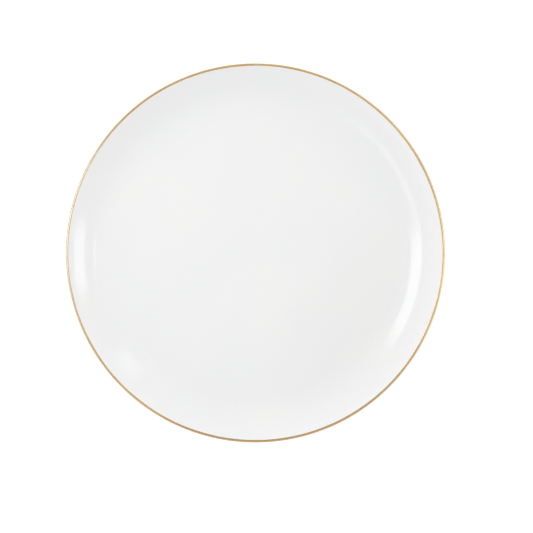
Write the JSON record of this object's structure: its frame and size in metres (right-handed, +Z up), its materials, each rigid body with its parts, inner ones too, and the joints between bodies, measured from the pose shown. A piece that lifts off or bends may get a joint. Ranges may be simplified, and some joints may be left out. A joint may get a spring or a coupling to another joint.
{
  "type": "dinner plate",
  "caption": "Round coupe dinner plate in white glazed porcelain: flat well, upswept plain rim, gilded lip, low unglazed foot ring.",
  "frame": {"origin": "centre of the foot ring's resting plane, on the plate's axis", "axes": "+Z up along the plate's axis, out of the well; the plate is round, so +X and +Y are any two level directions at right angles"},
  "size_m": [0.27, 0.27, 0.0209],
  "materials": {
    "biscuit_porcelain": "matte",
    "clear_glaze": "gloss",
    "gilding": "polished"
  },
  "bodies": {
    "root": {"china_body": "biscuit_porcelain", "glaze_coat": "clear_glaze", "foot_recess_glaze": "clear_glaze", "gold_rim_band": "gilding"}
  },
  "joints": []
}
